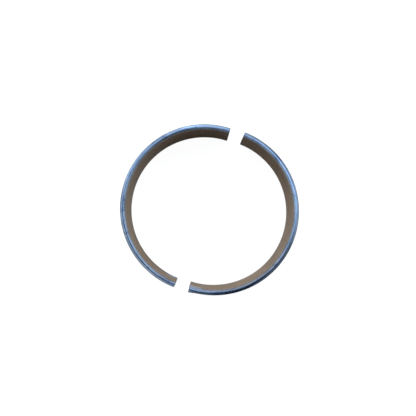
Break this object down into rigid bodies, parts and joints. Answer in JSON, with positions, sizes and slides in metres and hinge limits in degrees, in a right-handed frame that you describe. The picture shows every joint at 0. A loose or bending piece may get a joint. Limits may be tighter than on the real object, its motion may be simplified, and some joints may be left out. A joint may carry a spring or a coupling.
{
  "type": "connecting rod bearing",
  "caption": "Thin-walled split plain bearing for a connecting rod's big end: equal steel-backed half shells with a bonded bronze lining and pressed locating lugs, standing apart on their edges.",
  "frame": {"origin": "middle of the pair of half shells, on the plane that their lower side edges stand on", "axes": "+Z along the crank pin, +X across the joint from the upper half to the lower half, +Y along the joint, away from the two locating lugs"},
  "size_m": [0.0558, 0.0532, 0.018],
  "materials": {
    "steel": "satin, cool blue-grey",
    "lining": "fine-bored, dull brown"
  },
  "bodies": {
    "root": {"upper_steel_back": "steel", "upper_lining": "lining", "lower_steel_back": "steel", "lower_lining": "lining"}
  },
  "joints": []
}
